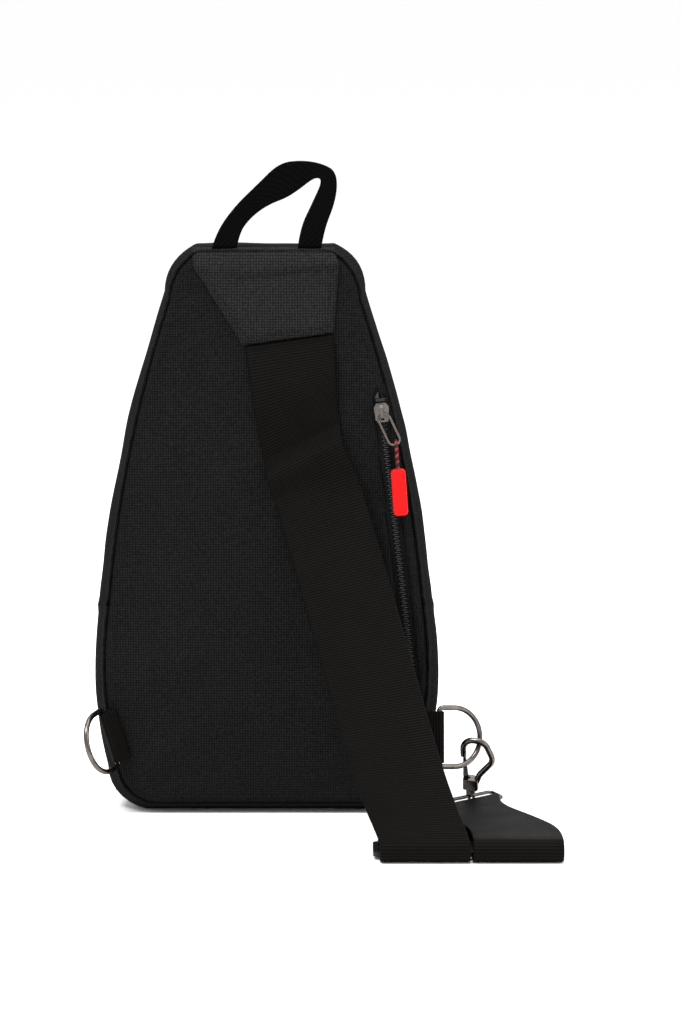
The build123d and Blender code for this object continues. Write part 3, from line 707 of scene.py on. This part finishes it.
def cap_face(obj, count, rings):
    """Closes the middle of a ringed surface with one vertex."""
    bm = bmesh.new()
    bm.from_mesh(obj.data)
    bm.verts.ensure_lookup_table()
    last = [bm.verts[rings * count + i] for i in range(count)]
    middle = bm.verts.new(sum((v.co for v in last), Vector()) / count)
    for i in range(count):
        bm.faces.new((last[i], last[(i + 1) % count], middle))
    for f in bm.faces:
        f.smooth = True
    bm.to_mesh(obj.data)
    bm.free()


def cut_slot(obj, points):
    """Takes away the cloth inside the zip's slot."""
    bm = bmesh.new()
    bm.from_mesh(obj.data)
    bm.verts.ensure_lookup_table()
    doomed = [f for f in bm.faces if all(points[v.index][3] < 3.9 for v in f.verts)]
    bmesh.ops.delete(bm, geom=doomed, context="FACES")
    bm.to_mesh(obj.data)
    bm.free()


def stitches(name, target, path, look, pitch=3.3, long=2.3, radius=0.3):
    """A row of thread stitches that lies on a piece along (x, z) points in millimetres. look is 1 on the
    faces that look to -Y and -1 on those that look to +Y."""
    bpy.context.view_layer.update()
    marks = [0.0]
    for (x0, z0), (x1, z1) in zip(path, path[1:]):
        marks.append(marks[-1] + hypot(x1 - x0, z1 - z0))

    def spot(s):
        s = min(max(s, 0.0), marks[-1])
        i = max(k for k in range(len(path) - 1) if marks[k] <= s)
        t = (s - marks[i]) / (marks[i + 1] - marks[i])
        (x0, z0), (x1, z1) = path[i], path[i + 1]
        x, z = x0 + (x1 - x0) * t, z0 + (z1 - z0) * t
        hit, place, _, _ = target.ray_cast(Vector((x, -200.0 * look, z)) * MM, Vector((0, look, 0)))
        return place if hit else None

    verts, faces = [], []
    for k in range(int(marks[-1] / pitch)):
        ends = spot(pitch * (k + 0.5) - long / 2), spot(pitch * (k + 0.5) + long / 2)
        if None in ends or (ends[1] - ends[0]).length > 2 * long * MM:
            continue
        along = (ends[1] - ends[0]).normalized()
        up = Vector((0, -look, 0))
        across = along.cross(up).normalized()
        base = len(verts)
        for t, size, lift in ((0, 0.45, -0.25), (0.25, 1.0, 0.2), (0.75, 1.0, 0.2), (1, 0.45, -0.25)):
            middle = ends[0].lerp(ends[1], t) + up * radius * lift * MM
            for j in range(6):
                a = j * pi / 3
                verts.append(middle + (across * cos(a) + up * sin(a)) * radius * size * MM)
        for i in range(3):
            for j in range(6):
                n = (j + 1) % 6
                low, high = base + i * 6, base + i * 6 + 6
                faces.append((low + j, low + n, high + n, high + j))
        faces.append(tuple(base + j for j in range(5, -1, -1)))
        faces.append(tuple(base + 18 + j for j in range(6)))
    return finish_piece(new_object(name, verts, faces), "bag", "thread")


def seam_path(v, inside):
    """The panel's outline at a depth, that far inside its seam."""
    inset, low, high, lean = at_depth(v)
    wide, tall = (HALF_WIDTH - inset - inside) / HALF_WIDTH, (high - low - 2 * inside) / HEIGHT
    loop = [(x * wide, (low + inside + z * tall) * cos(radians(lean))) for x, z in LOOP]
    return loop + loop[:1]


def slot_path(line, lean, gap):
    """Round the slot of a straight zip at a distance from its middle."""
    (x0, z0), (x1, z1) = line
    long = hypot(x1 - x0, z1 - z0)
    dx, dz = (x1 - x0) / long, (z1 - z0) / long
    corners = [(-gap, -gap), (long + gap, -gap), (long + gap, gap), (-gap, gap), (-gap, -gap)]
    tilt = cos(radians(lean))
    return [(x0 + dx * s - dz * w, (z0 + dz * s + dx * w) * tilt) for s, w in corners]


back_cloth = panel("back_panel", BACK_Y, 1, 5.0, 235.0, BACK_FOLDS, BACK_ZIP)
front_cloth = panel("front_panel", FRONT_Y, -1, 8.0, 420.0, FRONT_FOLDS, FRONT_ZIP)
stitches("back_seam_stitches", back_cloth, seam_path(BACK_Y, 4.6), 1)
stitches("front_seam_stitches", front_cloth, seam_path(FRONT_Y, 4.6), -1)
stitches("back_zip_stitches", back_cloth, slot_path(BACK_ZIP, 0.0, 7.2), 1)
stitches("front_zip_stitches", front_cloth, slot_path(FRONT_ZIP, 5.2, 7.2), -1)


# ---------------------------------------------------------------- webbing
def band(name, lefts, rights, thickness, material, body, nodes, resolution=6, cells=10, cup=0.0):
    """Webbing between two smooth edge lines, as a closed flat tube with rounded selvedges.
    Its weave coordinates are metres across and along."""
    left, right = spline_line(lefts, resolution), spline_line(rights, resolution)
    n = len(left)
    middle = [(a + b) / 2 for a, b in zip(left, right)]
    marks = [0.0]
    for a, b in zip(middle, middle[1:]):
        marks.append(marks[-1] + (b - a).length)
    width = sum((b - a).length for a, b in zip(left, right)) / n
    half = thickness / 2
    profile = [(-1.0, 0.0), (-0.985, 0.75)]
    profile += [(-0.955 + 1.91 * j / cells, 1.0) for j in range(cells + 1)]
    profile += [(0.985, 0.75), (1.0, 0.0), (0.985, -0.75)]
    profile += [(0.955 - 1.91 * j / cells, -1.0) for j in range(cells + 1)]
    profile += [(-0.985, -0.75)]
    rows = []
    for i in range(n):
        along = middle[min(i + 1, n - 1)] - middle[max(i - 1, 0)]
        across = right[i] - left[i]
        way = across.cross(along).normalized()
        row = []
        for s, h in profile:
            sag = cup * (s * s - 0.4)
            row.append(middle[i] + across * (s / 2) - way * (half * h + sag))
        rows.append(row)
    places = [s * width / 2 for s, _ in profile] + [profile[0][0] * width / 2]
    obj = grid_object(name, rows, closed_across=True, uv_scale=(marks, places))
    bm = bmesh.new()
    bm.from_mesh(obj.data)
    bm.verts.ensure_lookup_table()
    m = len(profile)
    bm.faces.new([bm.verts[j] for j in range(m)][::-1])
    bm.faces.new([bm.verts[(n - 1) * m + j] for j in range(m)])
    bmesh.ops.recalc_face_normals(bm, faces=bm.faces)
    for f in bm.faces:
        f.smooth = len(f.verts) == 4
    bm.to_mesh(obj.data)
    bm.free()
    finish_piece(obj, body, material, nodes)
    return obj, middle


STRAP_HALF = 25.0


def level_turn(centre, across, start, stop, radius, steps):
    """Edge points of the strap where it bends round a level line. 0 faces -Y and 90 is on top."""
    c, half = Vector(centre), Vector(across).normalized() * STRAP_HALF
    away = Vector((0, 0, 1)).cross(half).normalized()
    if away.y > 0:
        away = -away
    out = []
    for i in range(steps + 1):
        a = radians(start + (stop - start) * i / steps)
        p = c + (away * cos(a) + Vector((0, 0, sin(a)))) * radius
        out.append((p - half, p + half))
    return out


def lying(centre, across):
    half = Vector(across).normalized() * STRAP_HALF
    return (Vector(centre) - half, Vector(centre) + half)


def folded(left, right, out, level):
    """Edge points of a diagonal fold from one layer up on to the next."""
    outward_way = Vector((*out, 0)).normalized()
    result = []
    for angle in (-90, -45, 0, 45, 90):
        a = radians(angle)
        shift = (outward_way * cos(a) + Vector((0, 0, sin(a)))) * FOLD_R + Vector((0, 0, level + FOLD_R))
        result.append((Vector((*left, 0)) + shift, Vector((*right, 0)) + shift))
    return result


FLOOR_Z, FOLD_R, LOOP_R = 0.9, 0.95, 2.15
LAYER_Z = FLOOR_Z + 2 * FOLD_R
FOLD_Y = -115.0
BEND_1 = (89.5, -155.2, 7.6)
BEND_2 = (141.0, -155.5, 6.75)

STRAP_EDGES = [
    (Vector((-11.2, -43.0, 272.4)), Vector((38.8, -43.0, 279.4))),
    (Vector((-8.6, -45.2, 256.0)), Vector((39.8, -45.2, 265.0))),
    (Vector((-6.2, -45.8, 238.0)), Vector((40.6, -45.8, 252.0))),
    (Vector((-3.4, -43.4, 219.0)), Vector((41.4, -43.4, 239.0))),
    (Vector((-0.9, -42.3, 208.5)), Vector((42.6, -42.3, 230.5))),
    (Vector((-0.5, -42.6, 206.5)), Vector((42.8, -42.6, 228.5))),
    (Vector((-0.3, -47.6, 203.6)), Vector((43.1, -47.6, 225.6))),
    (Vector((0.4, -51.0, 199.0)), Vector((43.9, -51.0, 221.0))),
    (Vector((1.9, -50.6, 193.0)), Vector((45.4, -50.6, 214.0))),
    lying((30.0, -48.0, 190.0), (0.96, 0, 0.28)),
    lying((41.8, -58.0, 150.0), (0.965, 0, 0.26)),
    lying((54.1, -78.0, 110.0), (0.975, 0, 0.22)),
    lying((66.2, -103.0, 70.0), (0.985, 0, 0.17)),
    lying((77.6, -131.0, 36.0), (0.995, 0, 0.10)),
    *level_turn(BEND_1, (1, 0, 0), 45, -90, BEND_1[2] - FLOOR_Z, 6),
    lying((89.5, -153.5, 0.9), (1, 0, 0)),
    lying((89.5, -147.6, 0.9), (1, 0, 0)),
    lying((89.5, -141.8, 5.7), (1, 0, 0)),
    lying((89.5, -136.2, 5.7), (1, 0, 0)),
    lying((89.5, -130.4, 0.9), (1, 0, 0)),
    lying((89.5, -117.0, 0.9), (1, 0, 0)),
    *folded((64.5, FOLD_Y), (114.5, FOLD_Y + 50), (-1, 1), FLOOR_Z),
    lying((115.0, FOLD_Y + 25, LAYER_Z), (0, 1, 0)),
    *folded((166.0, FOLD_Y), (116.0, FOLD_Y + 50), (1, 1), LAYER_Z),
    lying((141.0, -116.0, LAYER_Z + 2 * FOLD_R), (-1, 0, 0)),
    lying((141.0, -125.5, FLOOR_Z), (-1, 0, 0)),
    *level_turn(BEND_2, (-1, 0, 0), -90, 90, BEND_2[2] - FLOOR_Z, 8),
    lying((140.8, -132.0, 11.4), (-1, 0, 0)),
    lying((137.5, -112.0, 10.4), (-1, -0.03, 0)),
    lying((126.0, -85.0, 9.2), (-1, -0.10, 0)),
    lying((112.6, -60.5, 8.1), (-0.92, -0.38, 0)),
]


def ring_bar():
    """Centre of the ring's lower bar: the ring's own box gives it, since the bar lies nearest the strap."""
    obj = frame["nodes"]["strap_ring"]
    points = [v.co for v in obj.data.vertices]
    way = Vector((0.6, -0.8, 0.0))
    reach = max(p.dot(way) for p in points)
    near = [p for p in points if p.dot(way) > reach - 2.25 * MM]
    low = Vector([min(p[i] for p in near) for i in range(3)])
    high = Vector([max(p[i] for p in near) for i in range(3)])
    return (low + high) / 2 / MM


STRAP_EDGES += level_turn(ring_bar(), (-0.8, -0.6, -0.03), 90, 270, LOOP_R, 6)
strap, strap_line = band(
    "strap_web",
    [a * MM for a, b in STRAP_EDGES],
    [b * MM for a, b in STRAP_EDGES],
    WEB * MM,
    "strap_webbing",
    "bag",
    ["strap"],
    cells=14,
)

HANDLE_Y = -37.0
HANDLE = [
    ((-30.5, -0.2, 327.0), (-16.0, 0.2, 327.0)),
    ((-27.5, -0.6, 337.5), (-14.5, 0.6, 337.0)),
    ((-17.0, -1.2, 352.0), (-7.0, 1.0, 346.5)),
    ((-4.0, -1.8, 364.5), (2.5, 1.2, 353.0)),
    ((8.0, -2.0, 376.5), (12.0, 0.8, 356.5)),
    ((20.0, -0.6, 378.2), (19.0, 0.6, 361.0)),
    ((32.0, 1.0, 376.5), (28.5, 1.0, 368.5)),
    ((41.2, 1.0, 371.5), (33.0, 0.0, 367.0)),
    ((40.8, 0.4, 356.0), (27.0, -0.4, 354.0)),
    ((33.5, 0.2, 338.0), (19.8, -0.2, 339.0)),
    ((32.0, 0.0, 327.0), (18.5, 0.0, 327.0)),
]
handle, _ = band(
    "handle_web",
    [Vector((x, HANDLE_Y + y, z)) * MM for (x, y, z), _ in HANDLE],
    [Vector((x, HANDLE_Y + y, z)) * MM for _, (x, y, z) in HANDLE],
    WEB * MM,
    "handle_webbing",
    "handle",
    ["grab_handle"],
    cells=6,
)


def tab(name, centre, up, away, reach, node):
    """Webbing folded round a D-ring's bar: out along the outer face, round the bar and back."""
    c, u, a = Vector(centre), Vector(up).normalized(), Vector(away).normalized()
    a = (a - u * a.dot(u)).normalized()
    side = u.cross(a).normalized()
    r = 2.45
    near = [(-reach, r), (-reach * 0.5, r), (0.0, r), (r * 0.75, r * 0.75)]
    path = near + [(r, 0.0)] + [(x, -y) for x, y in reversed(near)]
    half = u * 15.0
    middle = [c + a * x + side * y for x, y in path]
    lefts, rights = [(p - half) * MM for p in middle], [(p + half) * MM for p in middle]
    band(name, lefts, rights, 1.2 * MM, "strap_webbing", "bag", [node], cells=8)


def heading(angle):
    return (cos(radians(angle)), sin(radians(angle)), 0.0)


tab("left_tab_web", (-89.5, -48.0, 47.0), (-0.287, 0, 0.958), heading(217), 7.5, "left_d_tab")
tab("right_tab_web", (100.0, -43.4, 46.0), (0, 0.208, 0.978), heading(-15), 9.0, "right_d_tab")


# ---------------------------------------------------------------- yoke
YOKE = [(-44.5, 326.0), (-12.5, 274.0), (38.5, 281.0), (42.0, 326.0)]


def yoke():
    """The padded trapezoid over the top seam: crowned, rolled under at its edges, with a dip along its
    stitching and the wrinkles that the handle and the strap pull into it."""
    (ax, az), (bx, bz), (cx, cz), (dx, dz) = YOKE
    nu, nv = 64, 46
    rows = []
    for j in range(nv + 1):
        t = j / nv
        row = []
        for i in range(nu + 1):
            s = i / nu
            x = (ax + (dx - ax) * s) * (1 - t) + (bx + (cx - bx) * s) * t
            z = (az + (dz - az) * s) * (1 - t) + (bz + (cz - bz) * s) * t
            side = min(s, 1 - s) * (86.0 * (1 - t) + 51.0 * t)
            end = t * 50.0
            foot = (1 - t) * 50.0
            edge = min(side, foot)
            crown = 3.1 * smooth_step(-0.5, 3.4, edge)
            stitched = -0.7 / (1 + ((side - 3.6) / 0.8) ** 2) - 0.7 / (1 + ((foot - 3.4) / 0.8) ** 2)
            crease = -1.5 / (1 + ((end - 12.5 - 2.0 * sin(s * 5.0)) / 1.9) ** 2) * smooth_step(0.08, 0.3, s)
            ridge = 1.0 / (1 + ((end - 8.2 - 1.4 * sin(s * 4.0)) / 2.4) ** 2)
            pull = 0.9 / (1 + ((s - 0.22 - 0.3 * t) / 0.07) ** 2) * smooth_step(0.15, 0.4, t) * (1 - t)
            height = crown + stitched + crease + ridge + pull + bump_noise((x, z, 0), 12.0, 0.6, 2.0)
            over = max(0.0, 1 - end / 9.0)
            x *= 1 - 0.065 * smooth_step(0, 1, over)
            y = BACK_Y - 1.5 - height * (1 - 0.5 * over * over) + 7.0 * over**2.2
            row.append(Vector((x, y, z + 1.6 * smooth_step(0, 1, over))) * MM)
        rows.append(row[::-1])
    obj = grid_object("yoke_cloth", rows)
    thicken(obj, 1.2 * MM, 1.0)
    apply_modifiers(obj)
    finish_piece(obj, "bag", "yoke_fabric", ["yoke"])
    inner = [(-36.0, 318.0), (-10.3, 277.9), (35.4, 284.2), (37.9, 318.0)]
    stitches("yoke_stitches", obj, inner, 1)


yoke()


# ---------------------------------------------------------------- stage, light and camera
def stage():
    far = 80
    corners = [(-far, -far, 0), (far, -far, 0), (far, far, 0), (-far, far, 0)]
    floor_mesh = new_object("floor", corners, [(0, 1, 2, 3)], smooth=False)
    s = Shader("floor_paint", (0.97, 0.97, 0.97), 0.9, specular=0.1)
    floor_mesh.data.materials.append(s.mat)
    world = bpy.data.worlds.new("studio")
    world.use_nodes = True
    world.node_tree.nodes["Background"].inputs["Color"].default_value = (1, 1, 1, 1)
    world.node_tree.nodes["Background"].inputs["Strength"].default_value = 1.02
    bpy.context.scene.world = world


def area_light(name, place, target, size, power):
    data = bpy.data.lights.new(name, "AREA")
    data.shape = "RECTANGLE"
    data.size, data.size_y = size
    data.energy = power
    obj = bpy.data.objects.new(name, data)
    obj.location = place
    obj.rotation_euler = (Vector(target) - Vector(place)).to_track_quat("-Z", "Y").to_euler()
    bpy.context.scene.collection.objects.link(obj)


def camera():
    """Level with the photograph's view: the back panel face on, from a little above."""
    data = bpy.data.cameras.new("camera")
    data.sensor_fit = "VERTICAL"
    data.sensor_height = 36.0
    data.lens = 136.6
    obj = bpy.data.objects.new("camera", data)
    obj.location = (0.0433, -2.24, 0.52)
    obj.rotation_euler = (radians(90 - 8.86), 0, 0)
    bpy.context.scene.collection.objects.link(obj)
    bpy.context.scene.camera = obj


stage()
area_light("key", (-0.7, -1.0, 2.0), (0, 0, 0.15), (0.8, 0.8), 48)
area_light("top", (0.3, 0.2, 1.8), (0, 0, 0.1), (1.4, 1.0), 22)
area_light("rim", (1.4, -0.6, 1.0), (0, 0, 0.15), (0.5, 1.2), 9)
camera()
bpy.context.scene.view_settings.view_transform = "Standard"
